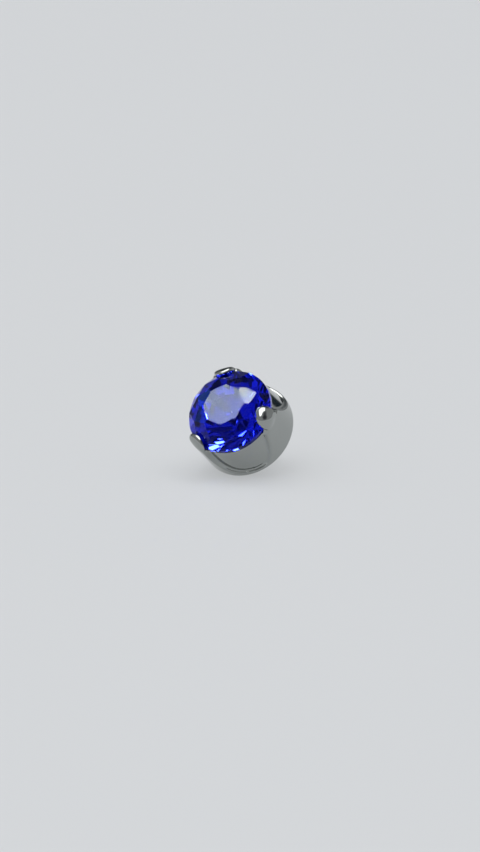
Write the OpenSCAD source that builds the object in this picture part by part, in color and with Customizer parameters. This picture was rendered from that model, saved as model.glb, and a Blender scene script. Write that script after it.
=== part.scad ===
// Jewelled end of a labret stud: a round brilliant stone in a turned three-prong
// setting, with the plain pin that plugs into the stud's stem.
// All sizes are in millimetres. The stud rests on its rim and on the tip of its pin.

/* [Stone] */
// Diameter of the stone at its girdle
stone_d = 3.0; // [2.96:0.01:3.0]
// Corner-to-corner width of the table, as a share of the diameter
table_share = 0.5; // [0.495:0.005:0.51]
// Height of the table above the middle of the girdle
table_h = 0.605; // [0.6:0.005:0.62]
// Slope of the star facets beside the table, in degrees
star_slope = 22.2; // [21.8:0.2:22.6]
// Slope of the crown's kite facets, in degrees
kite_slope = 38.4; // [37.6:0.2:38.6]
// Slope of the crown's upper girdle facets, in degrees
upper_slope = 47.5; // [47.5:0.5:50]
// Slope of the pavilion's main facets, in degrees
pavilion_slope = 40.5; // [39:0.5:41]
// Slope of the pavilion's lower girdle facets, in degrees
lower_slope = 41.7; // [41.5:0.1:42.5]
// Thickness of the girdle at its thick places, in line with the kite facets
girdle_t = 0.15; // [0.13:0.01:0.16]
// How far short of the girdle the kites and the pavilion's mains end
kite_inset = 0.03; // [0.02:0.01:0.04]
// Width of the small flat at the stone's lowest point
culet_w = 0.06; // [0.04:0.01:0.1]
// Turn of the stone about its axis, in degrees
stone_turn = 12.5; // [0:0.5:45]

/* [Setting] */
// Outer diameter of the setting
body_d = 3.39; // [3.34:0.01:3.5]
// Depth of the setting behind the middle of the girdle
body_depth = 1.58; // [1.56:0.01:1.8]
// Height of the closed rim at the back of the setting
rim_h = 0.14; // [0.1:0.01:0.2]
// Chamfer round the rim's back edge
rim_chamfer = 0.04; // [0.02:0.01:0.08]
// Diameter of the cup under the stone, at its front edge
cup_front_d = 2.98; // [2.9:0.01:3.0]
// Diameter of the cup where it meets the rim
cup_back_d = 3.2; // [3.1:0.02:3.24]
// Number of prongs
prong_n = 3; // [3:1:4]
// Width of each prong at its narrowest, level with the table
prong_w = 0.81; // [0.74:0.01:0.84]
// Radius of the hollow flank that widens each prong from its tip to the rim
flank_r = 3.05; // [2.8:0.05:3.4]
// Height of the flanks' narrowest place above the middle of the girdle
flank_h = 0.6; // [0.5:0.02:0.7]
// Sideways lean of each prong from the rim to its tip, in degrees
prong_lean = 4; // [-5:0.5:5]
// How far each prong reaches over the crown, measured from the axis
prong_reach = 1.27; // [1.24:0.01:1.32]
// Width of the circle that rounds each prong's tip
tip_w = 1.0; // [0.98:0.01:1.1]
// Height of the prong tips above the middle of the girdle
prong_h = 0.47; // [0.45:0.01:0.52]
// Radius of the bend over each prong's shoulder
shoulder_r = 0.55; // [0.45:0.01:0.56]
// Radius of the arch across each prong's top
arch_r = 0.54; // [0.5:0.01:0.62]
// Turn of the first prong about the axis, in degrees
prong_turn = 0.5; // [-10:0.5:10]

/* [Pin] */
// Diameter of the pin
pin_d = 0.9; // [0.7:0.05:1.0]
// Length of the pin behind the setting
pin_l = 1.6; // [1.4:0.05:1.7]
// Diameter of the spigot that seats the pin in the setting's back
spigot_d = 0.5; // [0.4:0.05:0.55]
// Depth of the spigot's socket
socket_depth = 0.1; // [0.06:0.01:0.12]
// Chamfer round the pin's free end
pin_chamfer = 0.1; // [0.04:0.01:0.15]

/* [Fit] */
// Gap between neighbouring pieces
gap = 0.02; // [0.01:0.005:0.03]

/* [Hidden] */
$fn = 96;

// A block large enough to hold the whole stud
block = 6;
stone_r = stone_d / 2;
body_r = body_d / 2;
pin_r = pin_d / 2;
spigot_r = spigot_d / 2;

// The brilliant cut has eight kites, and each ring of facets is placed from them
kite_n = 8;
kite_step = 360 / kite_n;
half_step = kite_step / 2;
quarter_step = kite_step / 4;
table_edge_r = table_share * stone_r * cos(half_step);
// Girdle facets meet the girdle's thick places at half its thickness
between_r = stone_r * cos(quarter_step);
upper_h = girdle_t / 2 - (stone_r - between_r) * tan(upper_slope);
lower_h = girdle_t / 2 - (stone_r - between_r) * tan(lower_slope);
// Each kite and main starts on the ridge between two girdle facets
kite_r = stone_r - kite_inset;
kite_h = upper_h + (stone_r - kite_r * cos(quarter_step)) * tan(upper_slope);
main_h = lower_h + (stone_r - kite_r * cos(quarter_step)) * tan(lower_slope);

// The seat follows the stone at the stated gap
seat_r = stone_r + gap;
seat_top = girdle_t / 2 + gap;
culet_depth = main_h + (kite_r - culet_w / 2) * tan(pavilion_slope);
cup_top = -girdle_t / 2 - gap;
// The seat rises with the ridges between the lower girdle facets, from a small flat
ridge_rise = cos(quarter_step) * tan(lower_slope);
seat_floor_z = -culet_depth - gap;
seat_floor_r = seat_r - (cup_top - seat_floor_z) / ridge_rise;
// Clearance under a prong tip: the crown's highest line at the prong's reach
crown_h = upper_h + (stone_r - prong_reach * cos(quarter_step)) * tan(upper_slope);
tip_under = crown_h + 1.5 * gap;
// Relief above each prong's inner edge, towards the table
relief = 0.2;

shoulder_z = prong_h - shoulder_r;
prong_step = 360 / prong_n;
floor_z = -body_depth + rim_h;
tip_r = tip_w / 2;
arch_z = prong_h - arch_r;
// How far a joined or cut shape runs past the face it starts from
overrun = 0.1;

// At rest the rim's edge and the pin's tip both touch the surface
rim_low_r = body_r;
rim_low_z = -body_depth + rim_chamfer;
pin_low_z = -body_depth - pin_l + pin_chamfer;
rest_tilt = atan((rim_low_r - pin_r) / (rim_low_z - pin_low_z));
rest_lift = rim_low_r * cos(rest_tilt) - rim_low_z * sin(rest_tilt);
// Moves the middle of the stud's length along Y to the origin
rest_shift = -0.77;

// Space on the inner side of a plane that leans outward by slope
module under_plane(turn, slope, radius, height) {
    rotate([0, 0, turn])
        translate([radius, 0, height])
            rotate([0, slope, 0])
                translate([-block, -block, -2 * block])
                    cube(2 * block);
}

// A ring of facets, evenly spaced about the axis
module facet_ring(count, first_turn, slope, radius, height) {
    intersection_for (i = [0:count - 1])
        under_plane(first_turn + i * 360 / count, slope, radius, height);
}

module crown() {
    intersection() {
        translate([-block, -block, table_h - 2 * block]) cube(2 * block);
        facet_ring(kite_n, half_step, star_slope, table_edge_r, table_h);
        facet_ring(kite_n, 0, kite_slope, kite_r, kite_h);
        facet_ring(2 * kite_n, quarter_step, upper_slope, stone_r, upper_h);
    }
}

module pavilion() {
    mirror([0, 0, 1])
        intersection() {
            translate([-block, -block, culet_depth - 2 * block]) cube(2 * block);
            facet_ring(kite_n, 0, pavilion_slope, kite_r, main_h);
            facet_ring(2 * kite_n, quarter_step, lower_slope, stone_r, lower_h);
        }
}

// The stone about its own axis, table towards +Z
module stone_shape() {
    rotate([0, 0, stone_turn])
        intersection() {
            cylinder(r = stone_r, h = block, center = true);
            crown();
            pavilion();
        }
}

// Outline of the turned blank: straight side, bent shoulder, flat inside
module blank() {
    arc_n = 10;
    shoulder = [for (i = [0:arc_n])
        let (a = 90 * i / arc_n)
            [body_r - shoulder_r + shoulder_r * cos(a), shoulder_z + shoulder_r * sin(a)]];
    rotate_extrude()
        polygon(concat(
            [[0, -body_depth], [body_r - rim_chamfer, -body_depth]],
            [[body_r, -body_depth + rim_chamfer]],
            shoulder,
            [[0, prong_h]]
        ));
}

// Space beside a prong's flank, which leans with the prong
module beside_prong(side) {
    leaning()
        translate([0, side * (prong_w / 2 + flank_r), flank_h])
            rotate([0, 90, 0]) cylinder(r = flank_r, h = 2 * block, center = true);
}

// Everything milled away between neighbouring prongs, from the outside to the axis
module notches() {
    each_prong()
        intersection() {
            beside_prong(1);
            rotate([0, 0, prong_step]) beside_prong(-1);
            translate([-block, -block, floor_z]) cube(2 * block);
        }
}

// Room for the prongs' round tips above the girdle, and for all that lies below it
module tip_room() {
    translate([-block, -block, -2 * block]) cube(2 * block);
    each_prong() leaning()
        intersection() {
            translate([prong_reach + tip_r, 0, -overrun]) cylinder(r = tip_r, h = block);
            union() {
                translate([0, 0, arch_z]) rotate([0, 90, 0]) cylinder(r = arch_r, h = block);
                translate([-block, -block, -2 * block + arch_z]) cube(2 * block);
            }
        }
}

// Leans its children sideways about the foot of a prong
module leaning() {
    translate([0, 0, floor_z]) rotate([prong_lean, 0, 0]) translate([0, 0, -floor_z]) children();
}

// Repeats its children at every prong
module each_prong() {
    for (i = [0:prong_n - 1]) rotate([0, 0, prong_turn + i * prong_step]) children();
}

module cup() {
    translate([0, 0, -body_depth + rim_h / 2])
        cylinder(r1 = cup_back_d / 2, r2 = cup_front_d / 2, h = body_depth - rim_h / 2 + cup_top);
}

// Hollow that the stone and its fitting gap take out of the setting
module seat() {
    rotate_extrude()
        polygon([
            [0, seat_floor_z], [seat_floor_r, seat_floor_z], [seat_r, cup_top], [seat_r, seat_top],
            [prong_reach, tip_under], [prong_reach - relief, tip_under + relief],
            [prong_reach - relief, block], [0, block]
        ]);
}

module setting_shape() {
    difference() {
        union() {
            intersection() {
                difference() {
                    blank();
                    notches();
                }
                tip_room();
            }
            cup();
        }
        seat();
        translate([0, 0, -body_depth - overrun]) {
            cylinder(r = spigot_r + gap, h = overrun + socket_depth);
            cylinder(r = pin_r + gap, h = overrun + gap);
        }
    }
}

module pin_shape() {
    rotate_extrude()
        polygon([
            [0, -body_depth - pin_l], [pin_r - pin_chamfer, -body_depth - pin_l],
            [pin_r, -body_depth - pin_l + pin_chamfer],
            [pin_r, -body_depth - gap], [spigot_r, -body_depth - gap],
            [spigot_r, -body_depth + socket_depth - gap], [0, -body_depth + socket_depth - gap]
        ]);
}

// Lays a piece down as the stud rests: front up and towards -Y
module at_rest() {
    translate([0, rest_shift, rest_lift]) rotate([90 - rest_tilt, 0, 0]) children();
}

module stone() {
    color("royalblue") at_rest() stone_shape();
}

module setting() {
    color("silver") at_rest() setting_shape();
}

module pin() {
    color("gray") at_rest() pin_shape();
}

stone();
setting();
pin();
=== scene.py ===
"""Jewelled end of a labret stud: a deep blue brilliant in a polished three-prong setting.

Sizes are in millimetres in the stud's own frame, whose origin is the middle of the stone's girdle
and whose Z axis runs from the pin through the middle of the table. TO_ROW lays a shape down as the
stud rests, in metres. The floor and the lights are in metres.
"""
import math

import bmesh
import bpy
import numpy as np
from mathutils import Matrix, Vector


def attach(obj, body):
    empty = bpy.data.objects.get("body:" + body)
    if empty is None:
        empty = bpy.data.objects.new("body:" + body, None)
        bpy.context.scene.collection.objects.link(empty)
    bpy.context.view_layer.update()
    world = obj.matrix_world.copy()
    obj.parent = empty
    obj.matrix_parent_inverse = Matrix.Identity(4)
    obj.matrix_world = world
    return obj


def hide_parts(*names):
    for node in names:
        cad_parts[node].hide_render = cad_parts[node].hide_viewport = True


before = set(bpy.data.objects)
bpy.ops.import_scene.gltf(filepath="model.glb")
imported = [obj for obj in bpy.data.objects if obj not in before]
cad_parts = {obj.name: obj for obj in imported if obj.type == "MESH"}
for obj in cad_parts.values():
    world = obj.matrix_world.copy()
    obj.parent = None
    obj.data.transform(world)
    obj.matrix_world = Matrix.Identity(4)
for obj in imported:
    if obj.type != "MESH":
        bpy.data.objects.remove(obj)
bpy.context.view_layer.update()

MM = 0.001
BODY = "root"

# Stone. Slopes are measured from the girdle's plane
STONE_R = 1.5
STONE_TURN = math.radians(12.5)
TABLE_R = 0.75
TABLE_H = 0.605
GIRDLE_T = 0.15
GIRDLE_SIDES = 192
KITES = 8
KITE_INSET = 0.03
CULET_R = 0.03
STAR_SLOPE, KITE_SLOPE, UPPER_SLOPE = (math.radians(a) for a in (22.2, 38.4, 47.5))
PAVILION_SLOPE, LOWER_SLOPE = (math.radians(a) for a in (40.5, 41.7))
HALF_KITE = math.pi / KITES
HALF_GIRDLE_FACET = HALF_KITE / 2
BLANK_DEPTH = 4 * STONE_R
CUT_TOLERANCE = 1e-6

# Setting. GAP is the room that the pieces keep between them
BODY_R = 1.695
BODY_DEPTH = 1.58
SHOULDER_R = 0.55
RIM_H = 0.14
RIM_CHAMFER = 0.04
RIM_ROUND = 0.062
NOTCH_FLOOR_Z = -BODY_DEPTH + RIM_H
CUP_FRONT_R, CUP_BACK_R = 1.49, 1.6
GAP = 0.02

# Prongs. Each is filed by hand: three values are for the photograph's right, upper and left one
PRONGS = 3
PRONG_TURN = math.radians(0.5)
PRONG_H = 0.47
PRONG_LEAN = np.radians((4, 4, 0.7))
PRONG_HALF_W = (0.405, 0.405, 0.43)
PRONG_REACH = (1.36, 1.3, 1.325)
FLANK_R = (3.05, 3.05, 1.2)
FLANK_H = (0.6, 0.6, -0.3)
TIP_R = (0.45, 0.45, 0.6)
TIP_FLARE = 0.35
TIP_FLARE_START = 0.2
ARCH_R = 0.54

# Bead that ends the right prong, round a short line between two points
BEAD_ENDS = np.array(((1.36, 0.03, 0.215), (1.42, -0.12, 0.19)))
BEAD_R = 0.275

# Widths over which the setting's forms run into each other
NOTCH_FOOT_BLEND = 0.12
NOTCH_EDGE_BLEND = 0.05
TIP_BLEND = 0.1
PRONG_TOP_BLEND = 0.2
BEAD_BLEND = 0.22
CUP_BLEND = 0.05
SEAT_CORNER_BLEND = 0.02
SEAT_EDGE_BLEND = 0.03
SOCKET_EDGE_BLEND = 0.01

# Net over the setting's form, whose vertices move onto the form in a few rounds
NET_CELL = 0.027
NET_MARGIN = 2.5 * NET_CELL
NET_ROUNDS = 5
LEAST_SQUARED_SLOPE = 0.2
SLOPE_STEP = 0.002

# Pin
PIN_R = 0.45
PIN_L = 1.6
PIN_SIDES = 96
PIN_CHAMFER = 0.1
PIN_ROUND = 0.155
PIN_ARC = [math.radians(a) for a in range(0, 91, 15)]
PIN_EDGE = 0.01
SPIGOT_R = 0.25
SOCKET_DEPTH = 0.1

# The stud lies on its rim and on the tip of its pin, where the solids it replaces have chamfers
RIM_LOW_Z = -BODY_DEPTH + RIM_CHAMFER
PIN_LOW_Z = -BODY_DEPTH - PIN_L + PIN_CHAMFER
REST_TILT = math.atan((BODY_R - PIN_R) / (RIM_LOW_Z - PIN_LOW_Z))
REST_LIFT = BODY_R * math.cos(REST_TILT) - RIM_LOW_Z * math.sin(REST_TILT)
REST_SHIFT = -0.77
TO_ROW = (
    Matrix.Scale(MM, 4)
    @ Matrix.Translation((0, REST_SHIFT, REST_LIFT))
    @ Matrix.Rotation(math.pi / 2 - REST_TILT, 4, "X")
)

# Camera, from the girdle's middle in the photograph, in its pixels. CAMERA_CLIP is in metres
IMAGE_W, IMAGE_H = 480, 852
GIRDLE_PIXEL = (230.1, 411.8)
PIXELS_PER_MM = 29.4
VIEW_AZIMUTH, VIEW_ELEVATION = math.radians(30.05), math.radians(16.18)
CAMERA_DISTANCE = 180
CAMERA_CLIP = (0.01, 10)
SENSOR = 36

# Floor
FLOOR_HALF = 0.1
FLOOR_CELLS = 8

# Softboxes lie overhead. Middle and size are for one unit of height, and turn is in degrees
WHITE = (1, 1, 1)
GLOSS_COLOUR = (0.86, 1, 0.75)
SOFTBOXES = (
    # name, height, middle, size, turn, colour, radiance, the one group of objects that it lights
    ("overhead", 0.3, (-0.13, -0.37), (1.4, 0.96), 45, WHITE, 3.2, "metal"),
    ("gem_gloss_0", 0.28, (-0.24, -0.275), (1.41, 0.68), 45, GLOSS_COLOUR, 24, "gem"),
    ("gem_gloss_1", 0.26, (0.02, -0.02), (0.68, 0.68), 45, GLOSS_COLOUR, 30, "gem"),
    ("floor_fill", 0.6, (0, 0), (2, 2), 0, WHITE, 1.38, "floor"),
)

# Lamps face the stud and light the stone alone, which mirrors one or lets it shine through
LAMP_DISTANCE = 0.25
LAMPS = (
    # name, direction, size for one unit of distance, colour, radiance, mirrored
    ("gem_right", (0.81, -0.12, 0.57), (0.3, 0.36), (1, 0.85, 0.3), 230, False),
    ("gem_above", (0.2, -0.31, 0.93), (0.14, 0.14), (1, 0.9, 0.6), 70, False),
    ("gem_left", (-0.92, -0.1, 0.37), (0.7, 0.7), (0.03, 0.2, 1), 2.5, True),
)

# Grey room round the stud, with darker patches
ROOM_COLOUR = (0.42, 0.43, 0.44)
ROOM_DARKEST = (0.005, 0.005, 0.005)
ROOM_PATCHES = (
    # direction, flattening along Z, inner radius, outer radius, change of colour
    ((0.72, -0.45, 0.52), 1, 0.26, 0.66, (-0.36, -0.37, -0.37)),
    ((-0.55, 0.25, 0.78), 1, 0.08, 0.28, (-0.3, -0.3, -0.3)),
    ((-0.7, 0.55, 0.35), 1, 0.35, 0.85, (-0.27, -0.27, -0.27)),
    ((0, 0.68, 0.73), 1, 0.2, 0.45, (-0.34, -0.34, -0.34)),
    ((-0.03, 1, 0), 6, 0.2, 0.34, (-0.41, -0.41, -0.41)),
)


# Setting's form, as signed distances that are negative inside. rho is the radius from the axis

def smooth_max(a, b, width):
    """Larger of two distances, with the edge between their forms rounded over a width."""
    share = np.clip(0.5 + 0.5 * (a - b) / width, 0, 1)
    return b + (a - b) * share + width * share * (1 - share)


def smooth_min(a, b, width):
    return -smooth_max(-a, -b, width)


def blank_distance(rho, z):
    """Turned blank: straight side, bent shoulder, flat top, small round at the rim."""
    flat = np.maximum.reduce([rho - BODY_R, z - PRONG_H, -BODY_DEPTH - z])
    out, up = rho - (BODY_R - SHOULDER_R), z - (PRONG_H - SHOULDER_R)
    top = np.where((out > 0) & (up > 0), np.hypot(out, up) - SHOULDER_R, flat)
    out, down = rho - (BODY_R - RIM_ROUND), (-BODY_DEPTH + RIM_ROUND) - z
    return np.where((out > 0) & (down > 0), np.hypot(out, down) - RIM_ROUND, top)


def prong_distances(x, y, z):
    """Round notches beside the nearest prong, and the filed outline of its end."""
    rho = np.hypot(x, y)
    step = 2 * math.pi / PRONGS
    angle = np.arctan2(y, x) - PRONG_TURN
    number = np.round(angle / step)
    near = angle - number * step
    lean, half_w, reach, flank_r, flank_h, tip_r = (
        np.choose(number.astype(int) % PRONGS, values)
        for values in (PRONG_LEAN, PRONG_HALF_W, PRONG_REACH, FLANK_R, FLANK_H, TIP_R)
    )

    # The prong's own frame: outwards along it, across it, and up its lean
    along = rho * np.cos(near)
    across = rho * np.sin(near)
    rise = z - NOTCH_FLOOR_Z
    side = across * np.cos(lean) + rise * np.sin(lean)
    up = NOTCH_FLOOR_Z + rise * np.cos(lean) - across * np.sin(lean)

    flank = np.hypot(np.abs(side) - (half_w + flank_r), up - flank_h) - flank_r
    notch = smooth_max(flank, NOTCH_FLOOR_Z - z, NOTCH_FOOT_BLEND)

    past_tip = along - reach - tip_r
    tip = np.hypot(np.minimum(past_tip, 0), side) - tip_r
    tip -= TIP_FLARE * np.maximum(past_tip + TIP_FLARE_START, 0)
    above_arch = np.maximum(up - (PRONG_H - ARCH_R), 0)
    arch = np.hypot(side, above_arch) - ARCH_R
    return notch, smooth_max(tip, arch, TIP_BLEND)


def bead_distance(points):
    length = BEAD_ENDS[1] - BEAD_ENDS[0]
    offset = [place - start for place, start in zip(points, BEAD_ENDS[0])]
    share = np.clip(sum(a * b for a, b in zip(offset, length)) / (length @ length), 0, 1)
    return np.sqrt(sum((a - share * b) ** 2 for a, b in zip(offset, length))) - BEAD_R


def cup_distance(rho, z):
    """Cup behind the stone, a little narrower at its front."""
    rise = (z + BODY_DEPTH) / (BODY_DEPTH - GIRDLE_T / 2 - GAP)
    wall = rho - (CUP_BACK_R + (CUP_FRONT_R - CUP_BACK_R) * rise)
    return np.maximum.reduce([wall, z + GIRDLE_T / 2 + GAP, -BODY_DEPTH - z])


def girdle_plane_h(slope):
    """Height over the girdle's middle at which the planes of its facets pass the stone's radius."""
    return GIRDLE_T / 2 - STONE_R * (1 - math.cos(HALF_GIRDLE_FACET)) * math.tan(slope)


def facet_cone_distance(rho, height, slope):
    """Cone that holds the edges between the girdle's facets, on one side of the girdle."""
    inner = STONE_R - rho * math.cos(HALF_GIRDLE_FACET)
    return (height - girdle_plane_h(slope) - inner * math.tan(slope)) * math.cos(slope)


def seat_distance(rho, z):
    """Room for the stone: its pavilion, its girdle, and its crown under the prong tips."""
    pavilion = facet_cone_distance(rho, -z, LOWER_SLOPE)
    crown = facet_cone_distance(rho, z, UPPER_SLOPE)
    cones = smooth_max(pavilion, crown, SEAT_CORNER_BLEND)
    return smooth_max(cones, rho - STONE_R, SEAT_CORNER_BLEND) - GAP


def socket_distance(rho, z):
    """Socket for the pin's spigot, in a shallow recess for its shoulder."""
    socket = np.maximum(rho - SPIGOT_R - GAP, z + BODY_DEPTH - SOCKET_DEPTH)
    recess = np.maximum(rho - PIN_R - GAP, z + BODY_DEPTH - GAP)
    return np.minimum(socket, recess)


def setting_distance(points):
    """Blank with notches and filed prongs, a bead and a cup, hollowed for the stone and the pin."""
    x, y, z = points
    rho = np.hypot(x, y)
    notch, prong_end = prong_distances(x, y, z)
    metal = smooth_max(blank_distance(rho, z), -notch, NOTCH_EDGE_BLEND)
    metal = smooth_max(metal, np.minimum(prong_end, z), PRONG_TOP_BLEND)
    metal = smooth_min(metal, bead_distance(points), BEAD_BLEND)
    metal = smooth_min(metal, cup_distance(rho, z), CUP_BLEND)
    metal = smooth_max(metal, -seat_distance(rho, z), SEAT_EDGE_BLEND)
    return smooth_max(metal, -socket_distance(rho, z), SOCKET_EDGE_BLEND)


def gradient(form, points):
    """Slope of a form's distance along each axis."""
    slopes = []
    for axis in range(3):
        shift = np.zeros((3, 1))
        shift[axis] = SLOPE_STEP
        slopes.append((form(points + shift) - form(points - shift)) / (2 * SLOPE_STEP))
    return np.array(slopes)


def surface_net(form, low, high):
    """Closed quad mesh of the surface where form is zero, one vertex per crossed cell."""
    axes = [np.arange(a, b + NET_CELL, NET_CELL) for a, b in zip(low, high)]
    field = form(np.array(np.meshgrid(*axes, indexing="ij")))
    size = np.array(field.shape)
    strides = np.array([size[1] * size[2], size[2], 1])
    cells, places, quads = [], [], []

    # Each grid edge that crosses the surface joins the four cells round it with a quad
    for axis in range(3):
        lower = np.take(field, np.arange(size[axis] - 1), axis)
        upper = np.take(field, np.arange(1, size[axis]), axis)
        start = np.argwhere((lower < 0) != (upper < 0))
        a = lower[tuple(start.T)]
        b = upper[tuple(start.T)]
        place = start.astype(float)
        place[:, axis] += a / (a - b)
        u, v = strides[(axis + 1) % 3], strides[(axis + 2) % 3]
        first = start @ strides
        ring = np.array([first, first - u, first - u - v, first - v]).T
        ring[a >= 0] = ring[a >= 0][:, ::-1]
        quads.append(ring)
        for corner in range(4):
            cells.append(ring[:, corner])
            places.append(place)
    cells, places, quads = np.concatenate(cells), np.concatenate(places), np.concatenate(quads)

    # A cell's vertex is the mean of its crossings, then moved onto the surface
    used, index = np.unique(cells, return_inverse=True)
    count = np.bincount(index)
    vertices = np.array([np.bincount(index, places[:, d]) / count for d in range(3)])
    vertices = vertices * NET_CELL + np.array(low)[:, None]
    for _ in range(NET_ROUNDS):
        slope = gradient(form, vertices)
        squared = np.maximum((slope ** 2).sum(0), LEAST_SQUARED_SLOPE)
        vertices = vertices - slope * form(vertices) / squared
    return vertices, np.searchsorted(used, quads)


def new_object(name, mesh):
    """Piece of the stud from a mesh in the stud's own frame. Its name starts with its node's."""
    mesh.transform(TO_ROW)
    mesh.update()
    obj = bpy.data.objects.new(name, mesh)
    bpy.context.scene.collection.objects.link(obj)
    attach(obj, BODY)
    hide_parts(name.split("_")[0])
    return obj


def make_setting():
    low = [-BODY_R - NET_MARGIN, -BODY_R - NET_MARGIN, -BODY_DEPTH - NET_MARGIN]
    high = [BODY_R + NET_MARGIN, BODY_R + NET_MARGIN, PRONG_H + NET_MARGIN]
    vertices, quads = surface_net(setting_distance, low, high)
    normals = gradient(setting_distance, vertices)
    normals /= np.linalg.norm(normals, axis=0)
    mesh = bpy.data.meshes.new("setting")
    mesh.from_pydata(vertices.T.tolist(), [], quads.tolist())
    mesh.shade_smooth()
    obj = new_object("setting_metal", mesh)
    turn = np.array(TO_ROW.to_3x3().normalized())
    mesh.normals_split_custom_set_from_vertices((turn @ normals).T.tolist())
    return obj


def make_pin():
    """Pin turned from an outline: round tip, straight side, shoulder and spigot with fine edges."""
    flat_r = PIN_R - PIN_ROUND
    tip_z = -BODY_DEPTH - PIN_L + PIN_ROUND
    outline = [(flat_r + PIN_ROUND * math.sin(a), tip_z - PIN_ROUND * math.cos(a)) for a in PIN_ARC]
    for radius, top_z in ((PIN_R, -BODY_DEPTH - GAP), (SPIGOT_R, -BODY_DEPTH + SOCKET_DEPTH - GAP)):
        outline += [(radius, top_z - PIN_EDGE), (radius - PIN_EDGE, top_z)]
    angles = [2 * math.pi * i / PIN_SIDES for i in range(PIN_SIDES)]
    bm = bmesh.new()
    rings = [
        [bm.verts.new((radius * math.cos(a), radius * math.sin(a), z)) for a in angles]
        for radius, z in outline
    ]
    for below, above in zip(rings, rings[1:]):
        for i in range(PIN_SIDES):
            j = (i + 1) % PIN_SIDES
            face = bm.faces.new((below[i], below[j], above[j], above[i]))
            face.smooth = True
    bm.faces.new(rings[0][::-1])
    bm.faces.new(rings[-1])
    mesh = bpy.data.meshes.new("pin")
    bm.to_mesh(mesh)
    bm.free()
    return new_object("pin_metal", mesh)


# Stone, cut facet by facet from a round blank

def facet_planes():
    """Point and outward normal of every facet: table and culet, then each ring of facets."""
    table_edge = TABLE_R * math.cos(HALF_KITE)
    kite_r = STONE_R - KITE_INSET
    upper_h, lower_h = girdle_plane_h(UPPER_SLOPE), girdle_plane_h(LOWER_SLOPE)
    inner = STONE_R - kite_r * math.cos(HALF_GIRDLE_FACET)
    kite_h = upper_h + inner * math.tan(UPPER_SLOPE)
    main_h = lower_h + inner * math.tan(LOWER_SLOPE)
    culet_depth = main_h + (kite_r - CULET_R) * math.tan(PAVILION_SLOPE)
    rings = (
        # count, first turn, slope, radius, height, side
        (KITES, HALF_KITE, STAR_SLOPE, table_edge, TABLE_H, 1),
        (KITES, 0, KITE_SLOPE, kite_r, kite_h, 1),
        (2 * KITES, HALF_GIRDLE_FACET, UPPER_SLOPE, STONE_R, upper_h, 1),
        (KITES, 0, PAVILION_SLOPE, kite_r, main_h, -1),
        (2 * KITES, HALF_GIRDLE_FACET, LOWER_SLOPE, STONE_R, lower_h, -1),
    )
    planes = [((0, 0, TABLE_H), (0, 0, 1)), ((0, 0, -culet_depth), (0, 0, -1))]
    for count, first, slope, radius, height, side in rings:
        for i in range(count):
            a = STONE_TURN + first + 2 * math.pi * i / count
            point = (radius * math.cos(a), radius * math.sin(a), side * height)
            out, up = math.sin(slope), side * math.cos(slope)
            planes.append((point, (out * math.cos(a), out * math.sin(a), up)))
    return planes


def make_stone():
    bm = bmesh.new()
    bmesh.ops.create_cone(
        bm, cap_ends=True, segments=GIRDLE_SIDES, radius1=STONE_R, radius2=STONE_R, depth=BLANK_DEPTH
    )
    for point, normal in facet_planes():
        cut = bmesh.ops.bisect_plane(
            bm, geom=bm.verts[:] + bm.edges[:] + bm.faces[:], dist=CUT_TOLERANCE,
            plane_co=point, plane_no=normal, clear_outer=True,
        )
        rim = [e for e in cut["geom_cut"] if isinstance(e, bmesh.types.BMEdge)]
        bmesh.ops.contextual_create(bm, geom=rim)
    bmesh.ops.recalc_face_normals(bm, faces=bm.faces[:])
    mesh = bpy.data.meshes.new("stone")
    bm.to_mesh(mesh)
    bm.free()
    return new_object("stone_gem", mesh)


# Materials. Noise scales are per metre

def new_material(name, socket_values):
    """Material of one shader, with finish as the constant values of its sockets."""
    material = bpy.data.materials.new(name)
    material.use_nodes = True
    tree = material.node_tree
    tree.nodes.clear()
    output = tree.nodes.new("ShaderNodeOutputMaterial")
    shader = tree.nodes.new("ShaderNodeBsdfPrincipled")
    for socket, value in socket_values.items():
        shader.inputs[socket].default_value = value
    tree.links.new(shader.outputs["BSDF"], output.inputs["Surface"])
    return material, tree, shader, output


def noise(tree, scale, detail=2):
    place = tree.nodes.new("ShaderNodeTexCoord")
    texture = tree.nodes.new("ShaderNodeTexNoise")
    texture.inputs["Scale"].default_value = scale
    texture.inputs["Detail"].default_value = detail
    tree.links.new(place.outputs["Object"], texture.inputs["Vector"])
    return texture.outputs["Fac"]


def vary_colour(tree, source, socket, low, high):
    """Colour a socket between low and high as the source goes from 0 to 1."""
    ramp = tree.nodes.new("ShaderNodeValToRGB")
    for element, colour in zip(ramp.color_ramp.elements, (low, high)):
        element.color = (*colour, 1)
    tree.links.new(source, ramp.inputs["Fac"])
    tree.links.new(ramp.outputs["Color"], socket)


def vary_value(tree, source, socket, low, high):
    """Set a socket between low and high as the source goes from 0 to 1."""
    spread = tree.nodes.new("ShaderNodeMapRange")
    spread.inputs["To Min"].default_value = low
    spread.inputs["To Max"].default_value = high
    tree.links.new(source, spread.inputs["Value"])
    tree.links.new(spread.outputs["Result"], socket)


def metal_material():
    """Polished metal, faintly clouded in tone and gloss, with a very fine grain."""
    material, tree, shader, _ = new_material("polished_metal", {"Metallic": 1})
    cloud = noise(tree, scale=900)
    base = shader.inputs["Base Color"]
    vary_colour(tree, cloud, base, low=(0.335, 0.352, 0.341), high=(0.375, 0.392, 0.381))
    vary_value(tree, cloud, shader.inputs["Roughness"], low=0.05, high=0.11)
    grain = noise(tree, scale=16000, detail=4)
    bump = tree.nodes.new("ShaderNodeBump")
    bump.inputs["Strength"].default_value = 0.02
    bump.inputs["Distance"].default_value = 0.00001
    tree.links.new(grain, bump.inputs["Height"])
    tree.links.new(bump.outputs["Normal"], shader.inputs["Normal"])
    return material


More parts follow.
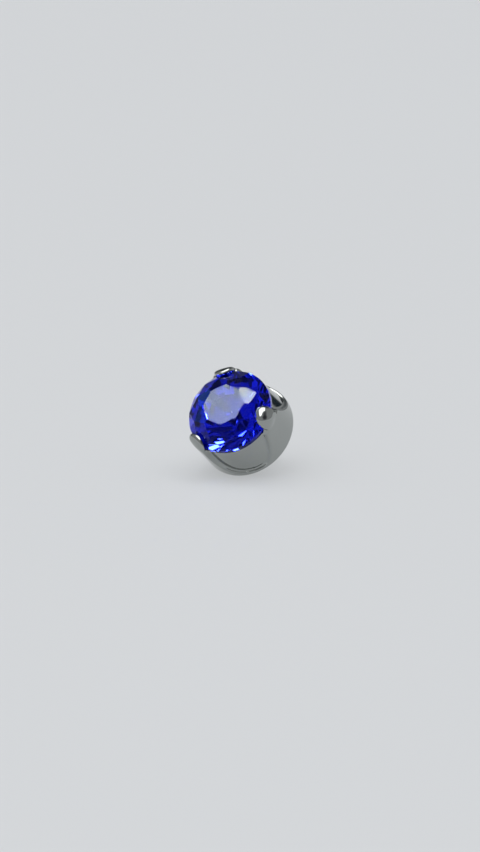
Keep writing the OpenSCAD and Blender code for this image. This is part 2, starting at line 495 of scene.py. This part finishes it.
def stone_material():
    """Clear stone whose body takes up all but the blue, with a dimmed surface gloss and a faint
    painted blue glow.
    """
    socket_values = {
        "Transmission Weight": 1,
        "IOR": 2.15,
        "Specular Tint": (0.06, 0.06, 0.065, 1),
        # Emission is a painted glow: faint blue light that the stone gives off without any lamp
        "Emission Color": (0, 0.04, 1, 1),
        "Emission Strength": 0.006,
    }
    material, tree, shader, output = new_material("blue_stone", socket_values)
    cloud = noise(tree, scale=700)
    vary_colour(tree, cloud, shader.inputs["Base Color"], low=(0.93, 0.95, 1), high=(0.98, 0.99, 1))
    vary_value(tree, cloud, shader.inputs["Roughness"], low=0.015, high=0.03)
    absorb = tree.nodes.new("ShaderNodeVolumeAbsorption")
    absorb.inputs["Color"].default_value = (0, 0.15, 0.95, 1)
    absorb.inputs["Density"].default_value = 1300
    tree.links.new(absorb.outputs["Volume"], output.inputs["Volume"])
    return material


def floor_material():
    material, tree, shader, _ = new_material("pale_floor", {"Roughness": 0.7})
    base = shader.inputs["Base Color"]
    vary_colour(tree, noise(tree, scale=12), base, low=(0.6, 0.612, 0.625), high=(0.62, 0.632, 0.645))
    return material


# Studio

def make_floor():
    bm = bmesh.new()
    bmesh.ops.create_grid(bm, x_segments=FLOOR_CELLS, y_segments=FLOOR_CELLS, size=FLOOR_HALF)
    mesh = bpy.data.meshes.new("floor")
    bm.to_mesh(mesh)
    bm.free()
    floor = bpy.data.objects.new("floor", mesh)
    bpy.context.scene.collection.objects.link(floor)
    mesh.materials.append(floor_material())
    return floor


def make_camera():
    """Camera at the photograph's angle, placed so that the girdle's middle falls on its pixel."""
    back = Vector((
        math.sin(VIEW_AZIMUTH) * math.cos(VIEW_ELEVATION),
        -math.cos(VIEW_AZIMUTH) * math.cos(VIEW_ELEVATION),
        math.sin(VIEW_ELEVATION),
    ))
    right = Vector((math.cos(VIEW_AZIMUTH), math.sin(VIEW_AZIMUTH), 0))
    up = back.cross(right)
    girdle = Vector((0, REST_SHIFT, REST_LIFT))
    across = (IMAGE_W / 2 - GIRDLE_PIXEL[0]) / PIXELS_PER_MM
    down = (IMAGE_H / 2 - GIRDLE_PIXEL[1]) / PIXELS_PER_MM
    place = girdle + right * across - up * down + back * CAMERA_DISTANCE
    camera = bpy.data.objects.new("camera", bpy.data.cameras.new("camera"))
    bpy.context.scene.collection.objects.link(camera)
    turn = Matrix((right, up, back)).transposed().to_4x4()
    camera.matrix_world = Matrix.Translation(place * MM) @ turn
    camera.data.sensor_width = SENSOR
    camera.data.lens = SENSOR * CAMERA_DISTANCE * PIXELS_PER_MM / IMAGE_H
    camera.data.clip_start, camera.data.clip_end = CAMERA_CLIP
    bpy.context.scene.camera = camera


def area_light(name, place, turn, size, colour, radiance, lit):
    """Rectangular light that lights the objects in lit alone."""
    data = bpy.data.lights.new(name, "AREA")
    data.shape = "RECTANGLE"
    data.size, data.size_y = size
    data.energy = radiance * math.pi * data.size * data.size_y
    data.color = colour
    light = bpy.data.objects.new(name, data)
    bpy.context.scene.collection.objects.link(light)
    light.location = place
    light.rotation_euler = turn
    receivers = bpy.data.collections.new(name)
    for obj in lit:
        receivers.objects.link(obj)
    light.light_linking.receiver_collection = receivers
    return light


def make_lights(groups):
    """Softboxes and lamps. The gem's softboxes are only mirrored, the floor's throws no shadow."""
    for name, height, middle, size, turn, colour, radiance, group in SOFTBOXES:
        light = area_light(
            name, Vector((*middle, 1)) * height, (0, 0, math.radians(turn)),
            [side * height for side in size], colour, radiance, groups[group],
        )
        light.visible_transmission = group != "gem"
        light.data.use_shadow = group != "floor"
    for name, direction, size, colour, radiance, mirrored in LAMPS:
        towards = Vector(direction).normalized()
        light = area_light(
            name, towards * LAMP_DISTANCE, towards.to_track_quat("Z", "Y").to_euler(),
            [side * LAMP_DISTANCE for side in size], colour, radiance, groups["gem"],
        )
        light.visible_camera = False
        light.visible_glossy = mirrored
        light.visible_transmission = not mirrored


def vector_math(tree, operation, source, value=None):
    """Vector node with source in its first input and value, if there is one, in its second."""
    node = tree.nodes.new("ShaderNodeVectorMath")
    node.operation = operation
    if value is not None:
        node.inputs[1].default_value = value
    tree.links.new(source, node.inputs[0])
    return node


def make_world():
    """Light from the room. A patch has its whole change of colour up to its inner radius."""
    world = bpy.data.worlds.new("studio")
    bpy.context.scene.world = world
    world.use_nodes = True
    tree = world.node_tree
    place = tree.nodes.new("ShaderNodeTexCoord").outputs["Generated"]
    total = None
    for direction, flattening, inner, outer, change in ROOM_PATCHES:
        offset = vector_math(tree, "SUBTRACT", place, Vector(direction).normalized())
        offset = vector_math(tree, "MULTIPLY", offset.outputs["Vector"], (1, 1, flattening))
        distance = vector_math(tree, "LENGTH", offset.outputs["Vector"])
        share = tree.nodes.new("ShaderNodeMapRange")
        share.interpolation_type = "SMOOTHSTEP"
        share.inputs["From Min"].default_value = outer
        share.inputs["From Max"].default_value = inner
        tree.links.new(distance.outputs["Value"], share.inputs["Value"])
        patched = vector_math(tree, "MULTIPLY_ADD", share.outputs["Result"], change)
        if total is None:
            patched.inputs[2].default_value = ROOM_COLOUR
        else:
            tree.links.new(total, patched.inputs[2])
        total = patched.outputs["Vector"]
    lit = vector_math(tree, "MAXIMUM", total, ROOM_DARKEST)
    tree.links.new(lit.outputs["Vector"], tree.nodes["Background"].inputs["Color"])


bpy.context.scene.view_settings.view_transform = "Standard"
metal = metal_material()
metal_pieces = [make_setting(), make_pin()]
for piece in metal_pieces:
    piece.data.materials.append(metal)
gem = make_stone()
gem.data.materials.append(stone_material())
make_camera()
make_lights({"metal": metal_pieces, "gem": [gem], "floor": [make_floor()]})
make_world()
